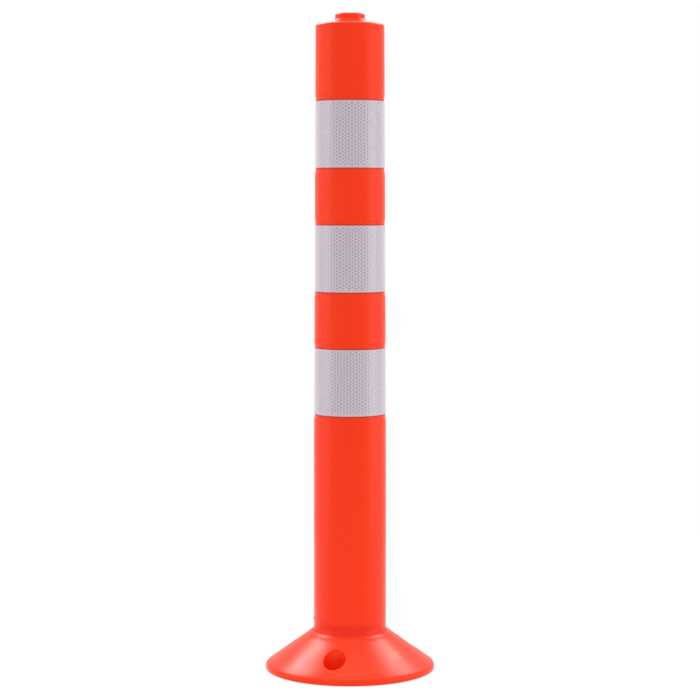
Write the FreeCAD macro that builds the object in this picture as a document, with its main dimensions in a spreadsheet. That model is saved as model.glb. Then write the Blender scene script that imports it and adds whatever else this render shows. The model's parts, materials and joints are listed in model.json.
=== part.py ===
"""A 75 cm flexible delineator post: a hollow moulded post on a flared foot, with three reflective wraps.

Frame: millimetres, +Z up along the post's axis. The origin is the centre of the foot on the ground, and the
first fixing hole is on -Y.
"""

import FreeCAD, Part
import os
import Sketcher
from FreeCAD import Placement, Rotation, Vector

SIZES = {
    # the moulding's outside
    "post_height": 750.0,
    "rim_radius": 97.5,
    "rim_height": 6.1,
    "cone_top_height": 46.3,
    "foot_tube_radius": 41.6,
    "neck_tube_radius": 41.4,
    "shoulder_radius": 39.1,
    "shoulder_height": 737.5,
    "crown_rise": 5.0,
    "knob_radius": 17.0,
    # its wall
    "wall": 4.0,
    "crown_wall": 6.0,
    "skirt_drop": 6.3,
    "ring_radius": 46.0,
    "skirt_inner_radius": 92.0,
    # edges
    "rim_round": 6.0,
    "ground_round": 2.0,
    "foot_fillet": 9.0,
    "shoulder_round": 2.5,
    "knob_round": 2.2,
    "knob_fillet": 3.0,
    # the stretch that bends, in two halves
    "neck_bottom": 60.0,
    "neck_middle": 160.0,
    "neck_top": 260.0,
    # fixing holes
    "hole_circle_radius": 72.0,
    "hole_count": 3.0,
    "bolt_hole_radius": 5.5,
    "counterbore_radius": 12.6,
    "counterbore_floor": 8.0,
    "boss_radius": 17.0,
    # ribs under the skirt
    "rib_count": 12.0,
    "rib_thickness": 3.0,
    "rib_inner_radius": 44.0,
    "rib_outer_radius": 94.0,
    # reflective wraps, each in a shallow recess
    "band_middle_height": 473.3,
    "band_pitch": 140.1,
    "band_width": 75.0,
    "recess_above": 6.2,
    "recess_below": 6.4,
    "recess_depth": 0.6,
    "recess_flank": 1.8,
    "tape_thickness": 0.45,
}
BANDS = {"upper": 1, "middle": 0, "lower": -1}
OUT_DIR = "parts"
PARALLEL = 1e-6

doc = FreeCAD.newDocument("delineator_post")
sheet = doc.addObject("Spreadsheet::Sheet", "Sizes")
for row, (alias, amount) in enumerate(SIZES.items(), 1):
    sheet.set(f"A{row}", alias)
    sheet.set(f"B{row}", str(amount))
    sheet.setAlias(f"B{row}", alias)
doc.recompute()


class Length:
    """A number together with the expression that gives it from the sheet."""

    def __init__(self, value, text):
        self.value = value
        self.text = text

    def _with(self, other, sign, result):
        text = other.text if isinstance(other, Length) else repr(other)
        return Length(result, f"({self.text} {sign} {text})")

    def __add__(self, other):
        return self._with(other, "+", self.value + number(other))

    def __sub__(self, other):
        return self._with(other, "-", self.value - number(other))

    def __mul__(self, other):
        return self._with(other, "*", self.value * number(other))

    def __truediv__(self, other):
        return self._with(other, "/", self.value / number(other))


def number(length):
    return length.value if isinstance(length, Length) else float(length)


def size(name):
    return Length(SIZES[name], "Sizes." + name)


ZERO = Length(0.0, "0")


def bind(obj, **lengths):
    """Ties properties of obj to the sheet."""
    for prop, length in lengths.items():
        obj.setExpression(prop, length.text)


def narrowed(height, bottom, bottom_radius, top, top_radius):
    """Radius at a height of a tube that narrows evenly between two heights."""
    return bottom_radius - (bottom_radius - top_radius) * (height - bottom) / (top - bottom)


def neck_radius(height):
    """Outside radius of the stretch that bends."""
    foot, neck = size("foot_tube_radius"), size("neck_tube_radius")
    return narrowed(height, size("neck_bottom"), foot, size("neck_top"), neck)


def outer_radius(height):
    """Outside radius of the post above the neck."""
    neck, shoulder = size("neck_tube_radius"), size("shoulder_radius")
    return narrowed(height, size("neck_top"), neck, size("shoulder_height"), shoulder)


def origin_plane(body, role):
    return next(f for f in body.Origin.OriginFeatures if f.Role == role)


def new_body(label):
    body = doc.addObject("PartDesign::Body", label)
    body.Label = label
    return body


def outline(body, name, corners, role="XZ_Plane"):
    """A closed sketch of straight lines, each corner held at two lengths from the body's origin."""
    sketch = body.newObject("Sketcher::SketchObject", name)
    sketch.AttachmentSupport = [(origin_plane(body, role), "")]
    sketch.MapMode = "FlatFace"
    points = [Vector(number(a), number(b), 0) for a, b in corners]
    count = len(points)
    for i in range(count):
        sketch.addGeometry(Part.LineSegment(points[i], points[(i + 1) % count]), False)
    for i in range(count):
        sketch.addConstraint(Sketcher.Constraint("Coincident", i, 2, (i + 1) % count, 1))
    for i, (across, up) in enumerate(corners):
        for kind, length in (("DistanceX", across), ("DistanceY", up)):
            held = sketch.addConstraint(Sketcher.Constraint(kind, -1, 1, i, 1, number(length)))
            sketch.setExpression(f"Constraints[{held}]", length.text)
    return sketch


def turned(body, name, corners):
    """The outline turned a full circle about the post's axis."""
    sketch = outline(body, name + "_outline", corners)
    solid = body.newObject("PartDesign::Revolution", name)
    solid.Profile = sketch
    solid.ReferenceAxis = (sketch, ["V_Axis"])
    solid.Angle = 360.0
    body.Tip = solid
    doc.recompute()
    return solid


def circle_edges(feature, radius, height):
    """Names of the feature's circular edges about the post's axis at a radius and height."""
    found = []
    for i, edge in enumerate(feature.Shape.Edges, 1):
        curve = edge.Curve
        if not isinstance(curve, Part.Circle) or curve.Center.cross(Vector(0, 0, 1)).Length > PARALLEL:
            continue
        if abs(curve.Radius - number(radius)) < PARALLEL and abs(curve.Center.z - number(height)) < PARALLEL:
            found.append(f"Edge{i}")
    return found


def rounded(body, base, name, radius, height, round_size):
    """Rounds the edge that runs round the post's axis at a radius and height."""
    fillet = body.newObject("PartDesign::Fillet", name)
    fillet.Base = (base, circle_edges(base, radius, height))
    bind(fillet, Radius=round_size)
    body.Tip = fillet
    doc.recompute()
    return fillet


def cylinder(name, radius, bottom, top):
    solid = doc.addObject("Part::Cylinder", name)
    bind(solid, Radius=radius, Height=top - bottom)
    solid.Placement.Base = Vector(number(size("hole_circle_radius")), 0, number(bottom))
    bind(solid, **{"Placement.Base.x": size("hole_circle_radius"), "Placement.Base.z": bottom})
    return solid


def fused(name, shapes):
    result = doc.addObject("Part::MultiFuse", name)
    result.Shapes = shapes
    return result


def cut(name, base, tool):
    result = doc.addObject("Part::Cut", name)
    result.Base = base
    result.Tool = tool
    return result


def ring_of(source, name, count, first_angle):
    """Copies of source evenly spaced about the post's axis, the first at first_angle from +X."""
    ring = []
    for i in range(count):
        link = doc.addObject("App::Link", f"{name}_{i + 1}")
        link.LinkedObject = source
        link.LinkTransform = True
        link.Placement = Placement(Vector(), Rotation(Vector(0, 0, 1), first_angle + 360.0 * i / count))
        ring.append(link)
    return ring


def make_base_flange():
    """The foot: a flared skirt round an open ring, ribbed and bossed underneath, with a stub of the post."""
    low = size("foot_tube_radius")
    bore = low - size("wall")
    rim, rim_top = size("rim_radius"), size("rim_height")
    neck, cone_top = size("neck_bottom"), size("cone_top_height")

    outside = new_body("foot_outside")
    solid = turned(
        outside,
        "foot_turned",
        [(bore, ZERO), (rim, ZERO), (rim, rim_top), (low, cone_top), (low, neck), (bore, neck)],
    )
    solid = rounded(outside, solid, "rim_rounded", rim, rim_top, size("rim_round"))
    solid = rounded(outside, solid, "foot_filleted", low, cone_top, size("foot_fillet"))
    rounded(outside, solid, "ground_edge_rounded", rim, ZERO, size("ground_round"))

    ring, skirt = size("ring_radius"), size("skirt_inner_radius")

    def roof(radius):
        fall = (cone_top - rim_top) / (rim - low)
        return cone_top - (radius - low) * fall - size("skirt_drop")

    hollow = new_body("skirt_hollow")
    turned(hollow, "hollow_turned", [(ring, ZERO), (skirt, ZERO), (skirt, roof(skirt)), (ring, roof(ring))])

    rib = doc.addObject("Part::Box", "rib")
    length = size("rib_outer_radius") - size("rib_inner_radius")
    bind(rib, Length=length, Width=size("rib_thickness"), Height=cone_top)
    bind(
        rib,
        **{
            "Placement.Base.x": size("rib_inner_radius"),
            "Placement.Base.y": size("rib_thickness") * -0.5,
        },
    )
    boss = cylinder("boss", size("boss_radius"), ZERO, cone_top)
    bolt_hole = cylinder("bolt_hole", size("bolt_hole_radius"), ZERO, cone_top)
    counterbore = cylinder("counterbore", size("counterbore_radius"), size("counterbore_floor"), cone_top)

    holes, ribs = int(SIZES["hole_count"]), int(SIZES["rib_count"])
    first_rib = -90.0 + 180.0 / ribs
    fillings = ring_of(rib, "rib_at", ribs, first_rib) + ring_of(boss, "boss_at", holes, -90.0)
    drillings = ring_of(bolt_hole, "bolt_hole_at", holes, -90.0)
    drillings += ring_of(counterbore, "counterbore_at", holes, -90.0)
    pockets = cut("skirt_pockets", hollow, fused("ribs_and_bosses", fillings))
    shell = cut("ribbed_foot", outside, pockets)
    flange = cut("base_flange", shell, fused("drilled", drillings))
    return flange


def make_neck_half(label, bottom, top):
    """One half of the stretch that bends: a plain tube."""
    low, high, wall = neck_radius(bottom), neck_radius(top), size("wall")
    body = new_body(label)
    turned(body, label + "_turned", [(low - wall, bottom), (low, bottom), (high, top), (high - wall, top)])
    return body


def band_ends(step):
    """Bottom and top height of a wrap, step pitches above the middle one."""
    middle = size("band_middle_height") + size("band_pitch") * float(step)
    half = size("band_width") / 2
    return middle - half, middle + half


def make_post_tube():
    """The upright tube with its three recesses, closed by a low conical crown with a round knob."""
    bottom, shoulder = size("neck_top"), size("shoulder_height")
    crown_top, top = shoulder + size("crown_rise"), size("post_height")
    knob, wall = size("knob_radius"), size("wall")
    outer_low, outer_top = outer_radius(bottom), outer_radius(shoulder)
    depth, flank = size("recess_depth"), size("recess_flank")

    corners = [(outer_low - wall, bottom), (outer_low, bottom)]
    for step in sorted(BANDS.values()):
        low, high = band_ends(step)
        low, high = low - size("recess_below"), high + size("recess_above")
        corners += [
            (outer_radius(low), low),
            (outer_radius(low + flank) - depth, low + flank),
            (outer_radius(high - flank) - depth, high - flank),
            (outer_radius(high), high),
        ]
    inside_top = shoulder - size("crown_wall")
    corners += [
        (outer_top, shoulder),
        (knob, crown_top),
        (knob, top),
        (ZERO, top),
        (ZERO, inside_top + size("crown_rise")),
        (outer_radius(inside_top) - wall, inside_top),
    ]
    post = new_body("post_tube")
    solid = turned(post, "post_turned", corners)
    solid = rounded(post, solid, "shoulder_rounded", outer_top, shoulder, size("shoulder_round"))
    solid = rounded(post, solid, "knob_rounded", knob, top, size("knob_round"))
    rounded(post, solid, "knob_filleted", knob, crown_top, size("knob_fillet"))
    return post


def make_band(which, step):
    """One wrap of reflective tape, lying on the floor of its recess."""
    low, high = band_ends(step)
    depth, tape = size("recess_depth"), size("tape_thickness")
    floor_low, floor_high = outer_radius(low) - depth, outer_radius(high) - depth
    label = f"reflective_band_{which}"
    body = new_body(label)
    turned(
        body,
        label + "_turned",
        [(floor_low, low), (floor_low + tape, low), (floor_high + tape, high), (floor_high, high)],
    )
    return body


def write(nodes):
    doc.recompute()
    for obj in doc.Objects:
        if "Invalid" in obj.State or "Error" in obj.State:
            raise RuntimeError(f"{obj.Name} failed: {obj.State}")
    os.makedirs(OUT_DIR, exist_ok=True)
    for node in nodes:
        shape = node.Shape
        if shape.isNull() or not shape.isValid() or shape.Volume <= 0:
            raise RuntimeError(f"{node.Label} has no sound shape")
        shape.exportStep(os.path.join(OUT_DIR, node.Label + ".step"))
        box = shape.BoundBox
        print(
            f"{node.Label}: {len(shape.Solids)} solid, {shape.Volume / 1000:.1f} cm3,"
            f" z {box.ZMin:.2f} to {box.ZMax:.2f}"
        )


nodes = [make_base_flange()]
nodes.append(make_neck_half("flex_neck_lower", size("neck_bottom"), size("neck_middle")))
nodes.append(make_neck_half("flex_neck_upper", size("neck_middle"), size("neck_top")))
nodes.append(make_post_tube())
nodes += [make_band(which, step) for which, step in BANDS.items()]
write(nodes)
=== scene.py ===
"""The looks of a flexible delineator post: an orange moulding with three honeycomb reflective wraps."""

import json
import math

import bmesh
import bpy
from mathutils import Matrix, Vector


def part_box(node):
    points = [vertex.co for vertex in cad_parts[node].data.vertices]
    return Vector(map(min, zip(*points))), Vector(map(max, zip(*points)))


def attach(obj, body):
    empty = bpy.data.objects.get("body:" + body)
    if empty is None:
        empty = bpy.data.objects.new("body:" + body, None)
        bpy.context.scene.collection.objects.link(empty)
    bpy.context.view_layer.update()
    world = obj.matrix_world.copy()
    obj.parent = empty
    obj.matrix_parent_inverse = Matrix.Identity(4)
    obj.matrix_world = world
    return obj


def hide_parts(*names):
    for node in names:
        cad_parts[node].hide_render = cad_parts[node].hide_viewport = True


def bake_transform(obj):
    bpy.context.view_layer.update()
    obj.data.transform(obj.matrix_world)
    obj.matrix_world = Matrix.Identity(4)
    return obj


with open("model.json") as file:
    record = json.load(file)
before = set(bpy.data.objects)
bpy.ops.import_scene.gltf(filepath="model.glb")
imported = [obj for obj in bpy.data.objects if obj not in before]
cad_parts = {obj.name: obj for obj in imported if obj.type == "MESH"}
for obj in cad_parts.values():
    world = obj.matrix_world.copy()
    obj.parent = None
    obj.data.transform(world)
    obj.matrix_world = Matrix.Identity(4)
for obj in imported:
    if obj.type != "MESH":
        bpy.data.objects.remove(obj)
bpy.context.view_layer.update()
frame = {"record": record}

MM = 0.001
TURN = 2 * math.pi
SEGMENTS = 180  # round the post; a multiple of the foot's three holes
ARC_STEP = math.radians(9)

# The moulding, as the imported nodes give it
_, FOOT_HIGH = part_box("base_flange")
_, NECK_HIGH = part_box("flex_neck_lower")
_, UPPER_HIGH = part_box("flex_neck_upper")
POST_LOW, POST_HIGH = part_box("post_tube")
MOUNT = next(m for m in frame["record"]["mounts"] if m["name"] == "ground_bolts")

TUBE_FOOT = NECK_HIGH.x
TUBE_NECK = POST_HIGH.x
TUBE_TOP = 39.1 * MM
SHOULDER = POST_HIGH.z - 12.5 * MM
SHOULDER_ROUND = 2.5 * MM
CROWN_RISE = 5 * MM
KNOB = 17 * MM
KNOB_FILLET = 3 * MM
KNOB_ROUND = 2.2 * MM
WALL = 4 * MM
CROWN_WALL = 6 * MM
CROWN_FILLET = 3 * MM  # inside, where the wall meets the crown
NECK_RING_GAP = 2 * MM  # close enough to bend in a smooth curve
POST_RING_GAP = 8 * MM

RIM = FOOT_HIGH.x
RIM_HEIGHT = 6.1 * MM
RIM_ROUND = 6 * MM
GROUND_ROUND = 2 * MM
GROUND_FLAT = 6 * MM  # width of the outermost ring of the underside
CONE_TOP = 46.3 * MM
FOOT_FILLET = 9 * MM
SKIRT_DROP = 6.3 * MM
RING = 46 * MM
SKIRT_INNER = 92 * MM
RIBS = 12
RIB_HALF = 1.5 * MM

HOLE_CIRCLE = MOUNT["dims"]["pcd_mm"] / 2 * MM
HOLES = MOUNT["dims"]["count"]
BOLT_HOLE = MOUNT["dims"]["hole_r_mm"] * MM
COUNTERBORE = 12.6 * MM
COUNTERBORE_FLOOR = 8 * MM
COUNTERBORE_ROUND = 0.6 * MM
BOLT_CHAMFER = 0.5 * MM
BOSS = 17 * MM
BOSS_SEGMENTS = 64

BANDS = ("upper", "middle", "lower")
RECESS_ABOVE = 6.2 * MM
RECESS_BELOW = 6.4 * MM
RECESS_DEPTH = 0.6 * MM
RECESS_FLANK = 1.8 * MM
RECESS_EDGE = 1.5 * MM
TAPE = 0.45 * MM
TAPE_OVERLAP = 12 * MM
LAP_RAMP = 5 * MM  # over which the end of the tape climbs onto its start
LAP_GAP = 0.03 * MM
CELL = 4 * MM
CELL_DEPTH = 0.08 * MM
CELL_LIP, CELL_FLOOR = 0.62, 0.50  # sizes of a lens cell's mouth and floor, as shares of its hexagon
PARTING = math.radians(-76)  # where the mould's parting line runs, counted from the front towards +X


# ---------------------------------------------------------------- meshes


def finish_mesh(name, bm, materials, sharp_degrees=40):
    """An object from bm, closed, facing outwards and smooth except at sharp edges."""
    bmesh.ops.recalc_face_normals(bm, faces=bm.faces)
    mesh = bpy.data.meshes.new(name)
    bm.to_mesh(mesh)
    bm.free()
    for material in materials:
        mesh.materials.append(material)
    mesh.polygons.foreach_set("use_smooth", [True] * len(mesh.polygons))
    mesh.set_sharp_from_angle(angle=math.radians(sharp_degrees))
    rest = mesh.attributes.new("rest", "FLOAT_VECTOR", "POINT")
    rest.data.foreach_set("vector", [c for v in mesh.vertices for c in v.co])
    obj = bpy.data.objects.new(name, mesh)
    bpy.context.scene.collection.objects.link(obj)
    return obj


def rounded(corners):
    """The line through corners (radius, height, round), each corner with a round turned into an arc."""
    line = []
    for i, (radius, height, rounding) in enumerate(corners):
        here = Vector((radius, height))
        if not rounding:
            line.append(here)
            continue
        before = (Vector(corners[i - 1][:2]) - here).normalized()
        after = (Vector(corners[i + 1][:2]) - here).normalized()
        half = before.angle(after) / 2
        centre = here + (before + after).normalized() * rounding / math.sin(half)
        first = here + before * rounding / math.tan(half) - centre
        sweep = first.angle_signed(here + after * rounding / math.tan(half) - centre)
        steps = max(2, math.ceil(abs(sweep) / ARC_STEP))
        for k in range(steps + 1):
            a = -sweep * k / steps
            c, s = math.cos(a), math.sin(a)
            line.append(centre + Vector((first.x * c - first.y * s, first.x * s + first.y * c)))
    return line


def divided(line, longest):
    """The line with its long spans cut into equal parts no longer than longest."""
    result = [line[0]]
    for a, b in zip(line, line[1:]):
        parts = max(1, math.ceil((b - a).length / longest))
        result += [a.lerp(b, k / parts) for k in range(1, parts + 1)]
    return result


def around(radius, height, i, count=SEGMENTS):
    """A point on a circle about the post, counted from the front (-Y) towards +X."""
    a = TURN * i / count
    return Vector((radius * math.sin(a), -radius * math.cos(a), height))


def bridge(bm, first, second):
    """Faces between two closed rings of vertices, either of which may be a single point."""
    count = max(len(first), len(second))
    for i in range(count):
        k = (i + 1) % count
        there = [first[n % len(first)] for n in (i, k)]
        back = [second[n % len(second)] for n in (k, i)]
        bm.faces.new(list(dict.fromkeys(there + back)))


def lathe(bm, line):
    """A closed line of (radius, height) points turned about the post's axis, poles where it meets it."""
    rings = []
    for point in line:
        if point.x < 1e-7:
            rings.append([bm.verts.new((0, 0, point.y))])
        else:
            rings.append([bm.verts.new(around(point.x, point.y, i)) for i in range(SEGMENTS)])
    for first, second in zip(rings, rings[1:] + rings[:1]):
        if len(first) + len(second) > 2:
            bridge(bm, first, second)


# ---------------------------------------------------------------- materials

ORANGE_DEEP, ORANGE_BRIGHT = (0.85, 0.0300, 0.0006), (0.91, 0.0360, 0.0015)
SCUFF = (0.95, 0.14, 0.06)
SPECK = (0.35, 0.05, 0.03)
ROAD_GRIME = (0.16, 0.08, 0.05)
# Painted shadow: the orange darkened along the tape's edges
TAPE_EDGE_SHADOW = (0.42, 0.040, 0.012)
# Painted shade on the stub above the cone
STUB_PAINTED_SHADE = (0.66, 0.006, 0.0002)
NET_DARK, NET_LIGHT = (0.445, 0.365, 0.435), (0.485, 0.40, 0.475)
CELL_DARK, CELL_LIGHT = (0.13, 0.105, 0.125), (0.16, 0.13, 0.155)
# Painted glints: the colour of the fine bright specks on the sheeting
PAINTED_GLINT = (0.85, 0.82, 0.86)
SMUDGE = (0.50, 0.42, 0.44)


def new_material(name):
    """A new material, its node tree and its Principled shader."""
    material = bpy.data.materials.new(name)
    material.use_nodes = True
    return material, material.node_tree, material.node_tree.nodes["Principled BSDF"]


def node(tree, kind, inputs=None, **settings):
    """A node of a kind, with its settings, and its inputs set to values or linked to sockets."""
    made = tree.nodes.new("ShaderNode" + kind)
    for key, value in settings.items():
        setattr(made, key, value)
    for key, value in (inputs or {}).items():
        if isinstance(value, bpy.types.NodeSocket):
            tree.links.new(value, made.inputs[key])
        else:
            made.inputs[key].default_value = value
    return made


def rest_place(tree, scale=(1, 1, 1)):
    """Where each point of the surface was before the post was bent, in metres, stretched by scale."""
    place = node(tree, "Attribute", attribute_name="rest").outputs["Vector"]
    return node(tree, "Mapping", {"Vector": place, "Scale": scale}).outputs["Vector"]


def noise(tree, place, scale, detail, roughness=0.5):
    """A cloudy pattern between 0 and 1."""
    inputs = {"Vector": place, "Scale": scale, "Detail": detail, "Roughness": roughness}
    return node(tree, "TexNoise", inputs).outputs["Fac"]


def remap(tree, value, low, high, to_low=0.0, to_high=1.0):
    """The value moved smoothly from the range low to high into the range to_low to to_high."""
    inputs = {"Value": value, "From Min": low, "From Max": high, "To Min": to_low, "To Max": to_high}
    return node(tree, "MapRange", inputs, interpolation_type="SMOOTHSTEP").outputs["Result"]


def times(tree, a, b):
    """The product of two values."""
    return node(tree, "Math", {0: a, 1: b}, operation="MULTIPLY").outputs["Value"]


def mix_colour(tree, factor, a, b):
    """Colour a giving way to colour b as factor goes from 0 to 1."""
    made = node(tree, "Mix", {"Factor": factor}, data_type="RGBA")
    for socket, value in zip([s for s in made.inputs if s.type == "RGBA"], (a, b)):
        if isinstance(value, bpy.types.NodeSocket):
            tree.links.new(value, socket)
        else:
            socket.default_value = (*value, 1)
    return next(s for s in made.outputs if s.type == "RGBA")


def bumped(tree, shader, layers):
    """Bumps on the shader's normal, each layer a (height, strength, distance)."""
    normal = None
    for height, strength, distance in layers:
        inputs = {"Height": height, "Strength": strength, "Distance": distance}
        if normal is not None:
            inputs["Normal"] = normal
        normal = node(tree, "Bump", inputs).outputs["Normal"]
    tree.links.new(normal, shader.inputs["Normal"])


def make_elastomer():
    """Satin orange polyurethane with flow marks, mould grain, a parting line, scuffs and grime.

    Grime lies at the ground; painted shadow darkens the orange along the tape's edges, and painted shade
    makes the stub above the cone a deeper red.
    """
    material, tree, shader = new_material("orange_elastomer")
    place = rest_place(tree)
    flow = noise(tree, rest_place(tree, (1, 1, 0.3)), 14, 3)
    grain = noise(tree, place, 1800, 2)
    ripple = noise(tree, rest_place(tree, (1, 1, 0.15)), 60, 2)
    scuffs = remap(tree, noise(tree, rest_place(tree, (1, 1, 6)), 55, 6, 0.7), 0.62, 0.78)
    spots = remap(tree, noise(tree, place, 420, 3, 0.6), 0.68, 0.8)
    parts = node(tree, "SeparateXYZ", {"Vector": place})
    low = remap(tree, parts.outputs["Z"], 3 * MM, 0.0)
    tape_edge_shadow = 0.0
    # Painted shadow: a thin dark line on the orange along each edge of the tape
    for edge in [corner.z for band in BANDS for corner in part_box(f"reflective_band_{band}")]:
        gap = node(tree, "Math", {0: parts.outputs["Z"], 1: edge}, operation="SUBTRACT").outputs["Value"]
        gap = node(tree, "Math", {0: gap}, operation="ABSOLUTE").outputs["Value"]
        inputs = {0: tape_edge_shadow, 1: remap(tree, gap, 2.8 * MM, 1.3 * MM)}
        tape_edge_shadow = node(tree, "Math", inputs, operation="MAXIMUM").outputs["Value"]
    grime = times(tree, low, remap(tree, noise(tree, place, 90, 4), 0.35, 0.7))
    across = (math.cos(PARTING), math.sin(PARTING), 0)
    line = node(tree, "VectorMath", {0: place, 1: across}, operation="DOT_PRODUCT").outputs["Value"]
    line = node(tree, "Math", {0: line}, operation="ABSOLUTE").outputs["Value"]
    parting = remap(tree, line, 0.35 * MM, 0.0)

    colour = mix_colour(tree, flow, ORANGE_DEEP, ORANGE_BRIGHT)
    colour = mix_colour(tree, times(tree, scuffs, 0.06), colour, SCUFF)
    colour = mix_colour(tree, times(tree, spots, 0.12), colour, SPECK)
    colour = mix_colour(tree, times(tree, grime, 0.35), colour, ROAD_GRIME)
    # Painted shadow along the tape's edges
    colour = mix_colour(tree, times(tree, tape_edge_shadow, 0.6), colour, TAPE_EDGE_SHADOW)
    # Painted shade: the stub between the cone and the neck is darkened to a deeper red
    below_neck = remap(tree, parts.outputs["Z"], FOOT_HIGH.z, FOOT_HIGH.z - 7 * MM)
    above_cone = remap(tree, parts.outputs["Z"], CONE_TOP - 2.8 * MM, CONE_TOP - 0.8 * MM)
    stub = times(tree, below_neck, above_cone)
    colour = mix_colour(tree, times(tree, stub, 0.4), colour, STUB_PAINTED_SHADE)
    tree.links.new(colour, shader.inputs["Base Color"])
    rough = remap(tree, noise(tree, place, 35, 3), 0.3, 0.7, 0.27, 0.35)
    rough = node(tree, "Math", {0: rough, 1: times(tree, scuffs, 0.12)}, operation="ADD").outputs["Value"]
    tree.links.new(rough, shader.inputs["Roughness"])
    shader.inputs["IOR"].default_value = 1.5
    shader.inputs["Specular IOR Level"].default_value = 0.2
    bumped(tree, shader, [(ripple, 0.25, 0.6 * MM), (grain, 0.25, 0.04 * MM), (parting, 0.6, 0.15 * MM)])
    return material


def make_sheeting(name, dark, light, roughness, ior, coat, sheen):
    """Clear-faced reflective sheeting with a faint mauve play of colour, painted glints and smudges."""
    material, tree, shader = new_material(name)
    place = rest_place(tree)
    play = noise(tree, rest_place(tree, (1, 1, 0.5)), 22, 2)
    colour = mix_colour(tree, play, dark, light)
    # Painted glints: fine white specks mixed into the colour; the same specks also bump the surface
    sparkle = noise(tree, place, 3500, 1)
    colour = mix_colour(tree, remap(tree, sparkle, 0.3, 0.75, 0.0, 0.25), colour, PAINTED_GLINT)
    smudge = remap(tree, noise(tree, rest_place(tree, (1, 1, 2)), 45, 4, 0.6), 0.55, 0.8)
    colour = mix_colour(tree, times(tree, smudge, 0.10), colour, SMUDGE)
    tree.links.new(colour, shader.inputs["Base Color"])
    rough = remap(tree, smudge, 0.0, 1.0, roughness, roughness + 0.15)
    tree.links.new(rough, shader.inputs["Roughness"])
    shader.inputs["Coat Weight"].default_value = coat
    shader.inputs["Coat Roughness"].default_value = 0.14
    shader.inputs["IOR"].default_value = ior
    shader.inputs["Sheen Weight"].default_value = sheen
    shader.inputs["Sheen Roughness"].default_value = 0.5
    bumped(tree, shader, [(noise(tree, place, 120, 2), 0.12, 0.5 * MM), (sparkle, 0.12, 0.03 * MM)])
    return material


ELASTOMER = make_elastomer()
SHEETING = make_sheeting(
    "sheeting_net", NET_DARK, NET_LIGHT, roughness=0.38, ior=1.35, coat=0.7, sheen=0.0
)
LENS_CELL = make_sheeting(
    "sheeting_cell", CELL_DARK, CELL_LIGHT, roughness=0.2, ior=2.6, coat=0.3, sheen=0.9
)


# ---------------------------------------------------------------- the moulding


def tube_radius(height):
    """Outside radius of the tube, which narrows a little up to the neck's top and more above it."""
    if height < POST_LOW.z:
        share = (height - FOOT_HIGH.z) / (POST_LOW.z - FOOT_HIGH.z)
        return TUBE_FOOT + (TUBE_NECK - TUBE_FOOT) * share
    share = (height - POST_LOW.z) / (SHOULDER - POST_LOW.z)
    return TUBE_NECK + (TUBE_TOP - TUBE_NECK) * share


def make_neck_half(name, low, high, replaced):
    """Half of the stretch that folds, made as a straight tube between two heights."""
    wide, narrow = tube_radius(low), tube_radius(high)
    outside = divided([Vector((wide, low)), Vector((narrow, high))], NECK_RING_GAP)
    inside = divided([Vector((narrow - WALL, high)), Vector((wide - WALL, low))], NECK_RING_GAP)
    bm = bmesh.new()
    lathe(bm, outside + inside)
    neck = finish_mesh(name, bm, [ELASTOMER])
    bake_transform(neck)
    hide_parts(replaced)


def make_post_skin():
    """The upright tube with its recesses, low conical crown and knob, hollow up to the crown."""
    outside = [(TUBE_NECK - WALL, POST_LOW.z, 0), (TUBE_NECK, POST_LOW.z, 0)]
    for band in reversed(BANDS):
        low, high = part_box(f"reflective_band_{band}")
        low, high = low.z - RECESS_BELOW, high.z + RECESS_ABOVE
        outside += [
            (tube_radius(low), low, RECESS_EDGE),
            (tube_radius(low) - RECESS_DEPTH, low + RECESS_FLANK, RECESS_EDGE),
            (tube_radius(high) - RECESS_DEPTH, high - RECESS_FLANK, RECESS_EDGE),
            (tube_radius(high), high, RECESS_EDGE),
        ]
    crown = SHOULDER + CROWN_RISE
    outside += [
        (TUBE_TOP, SHOULDER, SHOULDER_ROUND),
        (KNOB, crown, KNOB_FILLET),
        (KNOB, POST_HIGH.z, KNOB_ROUND),
        (0, POST_HIGH.z, 0),
    ]
    ceiling = SHOULDER - CROWN_WALL
    inside = [
        (0, ceiling + CROWN_RISE, 0),
        (tube_radius(ceiling) - WALL, ceiling, CROWN_FILLET),
        (TUBE_NECK - WALL, POST_LOW.z, 0),
    ]
    line = divided(rounded(outside), POST_RING_GAP) + divided(rounded(inside), POST_RING_GAP)[:-1]
    bm = bmesh.new()
    lathe(bm, line)
    post = finish_mesh("post_skin", bm, [ELASTOMER])
    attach(post, "post")
    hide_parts("post_tube")


def cone_height(radius):
    """Height of the foot's flared outside."""
    return RIM_HEIGHT + (RIM - radius) * (CONE_TOP - RIM_HEIGHT) / (RIM - TUBE_FOOT)


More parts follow.
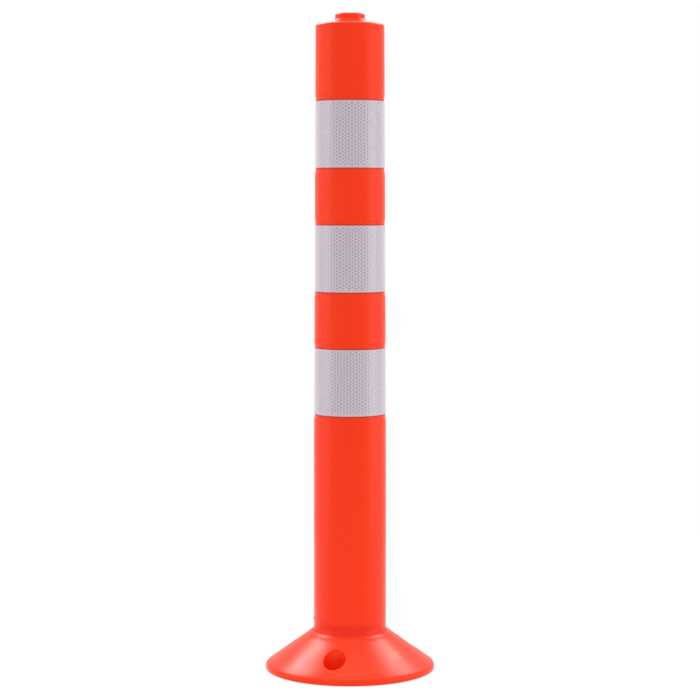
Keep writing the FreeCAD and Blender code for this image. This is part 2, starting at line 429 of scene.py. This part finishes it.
def make_foot():
    """The foot without its pockets: rim, cone and stub, with a net of faces round each fixing hole."""
    patch_inner, patch_outer, patch_step = 54 * MM, 90 * MM, 3 * MM
    patch_half = 12  # columns of the cone each side of a hole
    per_hole = SEGMENTS // HOLES
    profile = rounded(
        [
            (RIM - GROUND_FLAT, 0, 0),
            (RIM, 0, GROUND_ROUND),
            (RIM, RIM_HEIGHT, RIM_ROUND),
            (TUBE_FOOT, CONE_TOP, FOOT_FILLET),
            (TUBE_FOOT, FOOT_HIGH.z, 0),
            (TUBE_FOOT - WALL, FOOT_HIGH.z, 0),
            (TUBE_FOOT - WALL, 0, 0),
        ]
    )
    corner = next(i for i, p in enumerate(profile) if p.x < patch_inner)
    rings_across = round((patch_outer - patch_inner) / patch_step)
    cone = [patch_outer - k * patch_step for k in range(rings_across + 1)]
    # A low bead round the top of the cone: radius and rise above the cone, in millimetres
    witness = [(48.6, 0.0), (48.0, 0.28), (47.2, 0.44), (46.3, 0.34), (45.5, 0.05)]
    bead = [Vector((r * MM, cone_height(r * MM) + rise * MM)) for r, rise in witness]
    line = profile[:corner] + [Vector((r, cone_height(r))) for r in cone] + bead + profile[corner:]
    bm = bmesh.new()
    rings = [[bm.verts.new(around(p.x, p.y, i)) for i in range(SEGMENTS)] for p in line]
    for j in range(len(rings) - 1):
        on_cone = corner <= j < corner + rings_across
        for i in range(SEGMENTS):
            from_hole = (i + per_hole // 2) % per_hole - per_hole // 2
            if on_cone and -patch_half <= from_hole < patch_half:
                continue
            k = (i + 1) % SEGMENTS
            bm.faces.new((rings[j][i], rings[j][k], rings[j + 1][k], rings[j + 1][i]))

    def hole_loops(hole):
        """Rings from the edge of the patch to the foot of the bolt hole."""
        first, last = corner, corner + rings_across
        left, right = hole * per_hole - patch_half, hole * per_hole + patch_half
        loop = [rings[first][i % SEGMENTS] for i in range(left, right)]
        loop += [rings[j][right % SEGMENTS] for j in range(first, last)]
        loop += [rings[last][i % SEGMENTS] for i in range(right, left, -1)]
        loop += [rings[j][left % SEGMENTS] for j in range(last, first, -1)]
        centre = around(HOLE_CIRCLE, 0, hole, HOLES)
        directions = [Vector((v.co.x - centre.x, v.co.y - centre.y, 0)) for v in loop]

        def ring(radius, height):
            made = []
            for d in directions:
                p = centre + d.normalized() * radius
                p.z = height(p)
                made.append(bm.verts.new(p))
            return made

        def surface(p):
            return cone_height(math.hypot(p.x, p.y))

        loops = [loop]
        edge = COUNTERBORE + COUNTERBORE_ROUND
        for share in (0.25, 0.5, 0.7, 0.85, 0.95):  # rings closing in on the counterbore's edge
            made = []
            for d in directions:
                p = centre + d.normalized() * (d.length + (edge - d.length) * share)
                p.z = surface(p)
                made.append(bm.verts.new(p))
            loops.append(made)
        for degrees in (0, 22.5, 45, 67.5, 90):
            a = math.radians(degrees)
            fall = COUNTERBORE_ROUND * (1 - math.cos(a))
            radius = edge - COUNTERBORE_ROUND * math.sin(a)
            loops.append(ring(radius, lambda p, fall=fall: surface(p) - fall))
        top = [v.co.z for v in loops[-1]]
        bottom = COUNTERBORE_FLOOR + COUNTERBORE_ROUND
        for share in (0.5, 1.0):
            made = ring(COUNTERBORE, lambda p: 0)
            for v, z in zip(made, top):
                v.co.z = z + (bottom - z) * share
            loops.append(made)
        for degrees in (30, 60, 90):
            a = math.radians(degrees)
            height = bottom - COUNTERBORE_ROUND * math.sin(a)
            loops.append(ring(COUNTERBORE - COUNTERBORE_ROUND * (1 - math.cos(a)), lambda p, z=height: z))
        loops.append(ring(BOLT_HOLE + BOLT_CHAMFER, lambda p: COUNTERBORE_FLOOR))
        loops.append(ring(BOLT_HOLE, lambda p: COUNTERBORE_FLOOR - BOLT_CHAMFER))
        loops.append(ring(BOLT_HOLE, lambda p: 0))
        return loops

    for hole in range(HOLES):
        loops = hole_loops(hole)
        for first, second in zip(loops, loops[1:]):
            bridge(bm, first, second)
    open_edges = [e for e in bm.edges if e.is_boundary]
    bmesh.ops.triangle_fill(bm, edges=open_edges, use_beauty=True)
    return finish_mesh("foot_skin", bm, [ELASTOMER])


def make_pockets():
    """What the ribs and bosses leave hollow under the skirt: one closed block between each two ribs."""
    below = -2 * MM  # past the ground, for a clean cut
    arc = 10  # faces across a pocket
    outward = 6  # faces from its inner end to its outer end

    def roof(radius):
        return cone_height(radius) - SKIRT_DROP

    bm = bmesh.new()
    for pocket in range(RIBS):
        columns = []
        for radius in [RING + (SKIRT_INNER - RING) * k / outward for k in range(outward + 1)]:
            gap = math.asin(RIB_HALF / radius)
            first = TURN * (pocket - 0.5) / RIBS + gap
            last = TURN * (pocket + 0.5) / RIBS - gap
            angles = [first + (last - first) * k / arc for k in range(arc + 1)]
            columns.append(
                [
                    [bm.verts.new((radius * math.sin(a), -radius * math.cos(a), z)) for a in angles]
                    for z in (below, roof(radius))
                ]
            )
        for near, far in zip(columns, columns[1:]):
            for level in (0, 1):
                for k in range(arc):
                    bm.faces.new((near[level][k], near[level][k + 1], far[level][k + 1], far[level][k]))
            for k in (0, arc):
                bm.faces.new((near[0][k], near[1][k], far[1][k], far[0][k]))
        for low, high in (columns[0], columns[-1]):
            for k in range(arc):
                bm.faces.new((low[k], low[k + 1], high[k + 1], high[k]))
    return finish_mesh("pockets", bm, [])


def make_bosses():
    """Round blocks about the fixing holes, past both ends of the pockets, to be kept out of them."""
    bm = bmesh.new()
    for hole in range(HOLES):
        centre = around(HOLE_CIRCLE, 0, hole, HOLES)
        rings = []
        for z in (-4 * MM, CONE_TOP):
            steps = [TURN * k / BOSS_SEGMENTS for k in range(BOSS_SEGMENTS)]
            corners = [centre + Vector((BOSS * math.cos(a), BOSS * math.sin(a), z)) for a in steps]
            rings.append([bm.verts.new(corner) for corner in corners])
        bridge(bm, rings[0], rings[1])
        for ring in rings:
            bm.faces.new(ring)
    return finish_mesh("bosses", bm, [])


def cut_away(target, tool):
    """Takes tool out of target and drops tool."""
    cut = target.modifiers.new("cut", "BOOLEAN")
    cut.operation = "DIFFERENCE"
    cut.solver = "EXACT"
    cut.object = tool
    shown = target.evaluated_get(bpy.context.evaluated_depsgraph_get())
    mesh = bpy.data.meshes.new_from_object(shown)
    target.modifiers.clear()
    target.data = mesh
    bpy.data.objects.remove(tool)


def make_foot_skin():
    """The foot with the pockets cut out from below, leaving skirt, ribs, ring and bosses."""
    foot, pockets = make_foot(), make_pockets()
    cut_away(pockets, make_bosses())
    cut_away(foot, pockets)
    mesh = foot.data
    mesh.set_sharp_from_angle(angle=math.radians(40))
    rest = mesh.attributes["rest"]
    rest.data.foreach_set("vector", [c for v in mesh.vertices for c in v.co])
    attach(foot, "base")
    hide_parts("base_flange")


def make_flash_nub():
    """A crumb of flash left standing on the mould's parting line, high on the stub."""
    half_sizes = (0.9, 0.6, 1.5)  # outward, along the tube's round and upward, in millimetres
    middle = FOOT_HIGH.z - 2.4 * MM
    bm = bmesh.new()
    bmesh.ops.create_icosphere(bm, subdivisions=3, radius=1)
    for v in bm.verts:
        wobble = 1 + 0.12 * math.sin(5 * v.co.z + 2 * v.co.x) + 0.08 * math.cos(7 * v.co.y)
        out, along, up = [c * size * wobble * MM for c, size in zip(v.co, half_sizes)]
        a = PARTING + along / TUBE_FOOT
        radius = TUBE_FOOT + out
        v.co = Vector((radius * math.sin(a), -radius * math.cos(a), middle + up))
    nub = finish_mesh("flash_nub", bm, [ELASTOMER])
    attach(nub, "base")


# ---------------------------------------------------------------- the reflective wraps


def make_wrap(band, seam_degrees):
    """A strip of honeycomb sheeting wound once round its recess, its end lapped over its start."""
    low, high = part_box(f"reflective_band_{band}")
    width = high.z - low.z
    middle = tube_radius((low.z + high.z) / 2) - RECESS_DEPTH
    once_round = TURN * middle
    length = once_round + TAPE_OVERLAP
    corner = CELL / math.sqrt(3)
    column = corner * 1.5
    bm = bmesh.new()
    shared = {}

    def corner_vertex(x, y, z):
        key = (round(x / MM, 3), round(y / MM, 3), z)
        if key not in shared:
            shared[key] = bm.verts.new((x, y, z))
        return shared[key]

    hexagon = [(math.cos(TURN * k / 6), math.sin(TURN * k / 6)) for k in range(6)]
    for i in range(-1, math.ceil(length / column) + 2):
        for j in range(-1, math.ceil(width / CELL) + 2):
            x, y = i * column, (j + 0.5 * (i % 2)) * CELL
            whole = corner < x < length - corner and CELL / 2 < y < width - CELL / 2
            under = [corner_vertex(x + corner * a, y + corner * b, -TAPE) for a, b in hexagon]
            over = [corner_vertex(x + corner * a, y + corner * b, 0.0) for a, b in hexagon]
            bm.faces.new(under[::-1])
            if not whole:
                bm.faces.new(over)
                continue
            mouth, deep = CELL_LIP * corner, CELL_FLOOR * corner
            lip = [bm.verts.new((x + mouth * a, y + mouth * b, 0)) for a, b in hexagon]
            sunk = [bm.verts.new((x + deep * a, y + deep * b, -CELL_DEPTH)) for a, b in hexagon]
            bridge(bm, over, lip)
            bridge(bm, lip, sunk)
            bm.faces.new(sunk).material_index = 1
    trims = (  # a point and the outward direction for each side of the strip
        ((0, 0, 0), (-1, 0, 0)),
        ((length, 0, 0), (1, 0, 0)),
        ((0, 0, 0), (0, -1, 0)),
        ((0, width, 0), (0, 1, 0)),
    )
    for place, normal in trims:
        parts = bm.verts[:] + bm.edges[:] + bm.faces[:]
        bmesh.ops.bisect_plane(
            bm, geom=parts, dist=1e-7, plane_co=place, plane_no=normal, clear_outer=True
        )
    bmesh.ops.remove_doubles(bm, verts=bm.verts, dist=1e-7)
    rims = {0.0: {}, -TAPE: {}}
    for v in bm.verts:
        if v.is_boundary:
            level = 0.0 if v.co.z > -TAPE / 2 else -TAPE
            rims[level][(round(v.co.x / MM, 2), round(v.co.y / MM, 2))] = v
    upper_edges = [e for e in bm.edges if e.is_boundary and e.verts[0].co.z > -TAPE / 2]
    for e in upper_edges:
        keys = [(round(v.co.x / MM, 2), round(v.co.y / MM, 2)) for v in e.verts]
        bm.faces.new((e.verts[0], e.verts[1], rims[-TAPE][keys[1]], rims[-TAPE][keys[0]]))

    seam = math.radians(seam_degrees)
    for v in bm.verts:
        along, up, above = v.co
        share = min(1.0, max(0.0, (along - once_round + LAP_RAMP) / LAP_RAMP))
        lift = (TAPE + LAP_GAP) * share * share * (3 - 2 * share)
        height = low.z + up
        radius = tube_radius(height) - RECESS_DEPTH + TAPE + above + lift
        a = seam + along / middle
        v.co = Vector((radius * math.sin(a), -radius * math.cos(a), height))
    wrap = finish_mesh(f"reflective_wrap_{band}", bm, [SHEETING, LENS_CELL], sharp_degrees=50)
    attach(wrap, "post")
    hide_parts(f"reflective_band_{band}")


# ---------------------------------------------------------------- the studio

VIEW_AZIMUTH = 13.8  # degrees from the front towards +X
FLOOR_RADIUS, FLOOR_FADE_START, FLOOR_FADE_END = 3, 0.3, 1.2  # metres


def make_floor():
    """A pale floor that fades into the white surround."""
    bm = bmesh.new()
    bmesh.ops.create_circle(bm, cap_ends=True, segments=96, radius=FLOOR_RADIUS)
    floor = finish_mesh("floor", bm, [])
    material, tree, shader = new_material("pale_floor")
    shader.inputs["Base Color"].default_value = (0.25, 0.25, 0.25, 1)
    shader.inputs["Roughness"].default_value = 0.9
    shader.inputs["Specular IOR Level"].default_value = 0.1
    shader.inputs["Emission Color"].default_value = (1, 1, 1, 1)
    shader.inputs["Emission Strength"].default_value = 0.7
    place = node(tree, "TexCoord").outputs["Object"]
    far = node(tree, "VectorMath", {0: place}, operation="LENGTH").outputs["Value"]
    gone = remap(tree, far, FLOOR_FADE_START, FLOOR_FADE_END)
    clear = node(tree, "BsdfTransparent")
    blend = node(tree, "MixShader", {0: gone, 1: shader.outputs["BSDF"], 2: clear.outputs["BSDF"]})
    tree.links.new(blend.outputs["Shader"], tree.nodes["Material Output"].inputs["Surface"])
    floor.data.materials.append(material)
    floor.location.z = -0.2 * MM  # just clear of the foot


def make_softbox(name, azimuth, height, distance, width, tall, power, mirrored=True):
    """A soft light that faces the post's middle; azimuth is in degrees from the front towards +X."""
    data = bpy.data.lights.new(name, "AREA")
    data.shape = "RECTANGLE"
    data.size, data.size_y = width, tall
    data.energy = power
    light = bpy.data.objects.new(name, data)
    a = math.radians(azimuth)
    light.location = (distance * math.sin(a), -distance * math.cos(a), height)
    towards = Vector((0, 0, POST_HIGH.z / 2)) - light.location
    light.rotation_euler = towards.to_track_quat("-Z", "Y").to_euler()
    light.visible_glossy = mirrored
    bpy.context.scene.collection.objects.link(light)


def make_world(seen, lit):
    """White to the camera, a softer grey to the surfaces."""
    world = bpy.data.worlds.new("studio")
    world.use_nodes = True
    tree = world.node_tree
    background = tree.nodes["Background"]
    to_camera = node(tree, "LightPath").outputs["Is Camera Ray"]
    strength = node(tree, "MapRange", {"Value": to_camera, "To Min": lit, "To Max": seen})
    tree.links.new(strength.outputs["Result"], background.inputs["Strength"])
    background.inputs["Color"].default_value = (1, 1, 1, 1)
    bpy.context.scene.world = world


def make_camera(azimuth, distance, height, aim, lens):
    """A camera that looks at a height on the post's axis.

    The azimuth is in degrees from the front towards +X, the lens in millimetres and the rest in metres.
    """
    data = bpy.data.cameras.new("camera")
    data.sensor_width = 36
    data.lens = lens
    data.clip_start = 0.05
    camera = bpy.data.objects.new("camera", data)
    a = math.radians(azimuth)
    camera.location = (distance * math.sin(a), -distance * math.cos(a), height)
    towards = Vector((0, 0, aim)) - camera.location
    camera.rotation_euler = towards.to_track_quat("-Z", "Y").to_euler()
    bpy.context.scene.collection.objects.link(camera)
    bpy.context.scene.camera = camera


make_camera(VIEW_AZIMUTH, distance=2.354, height=0.5376, aim=0.3682, lens=105.95)
make_world(seen=1.0, lit=0.86)
# After the azimuth: height, distance, width and length in metres, then power in watts
make_softbox("right_rear_softbox", VIEW_AZIMUTH + 135, 1.85, 1.5, 0.6, 0.8, 22)
make_softbox("left_rear_softbox", VIEW_AZIMUTH - 135, 1.85, 1.5, 0.6, 0.8, 29)
make_softbox("right_strip_softbox", VIEW_AZIMUTH + 78, 0.6, 1.5, 0.9, 1.5, 5.5)
make_softbox("left_strip_softbox", VIEW_AZIMUTH - 80, 0.6, 1.5, 0.8, 1.5, 4)
make_softbox("front_fill", VIEW_AZIMUTH + 12, 2.0, 2.2, 1.8, 1.2, 3, mirrored=False)
make_softbox("top_softbox", VIEW_AZIMUTH, 2.4, 0.1, 0.8, 0.8, 6)
make_softbox("back_softbox", VIEW_AZIMUTH + 180, 1.6, 2.0, 1.0, 0.7, 5)
bpy.context.scene.view_settings.view_transform = "Standard"

make_floor()
make_foot_skin()
make_flash_nub()
make_neck_half("neck_skin_lower", FOOT_HIGH.z, NECK_HIGH.z, "flex_neck_lower")
make_neck_half("neck_skin_upper", NECK_HIGH.z, UPPER_HIGH.z, "flex_neck_upper")
make_post_skin()
for band, seam in zip(BANDS, (174, 183, 178)):  # degrees: each wrap's seam is near the back
    make_wrap(band, seam)
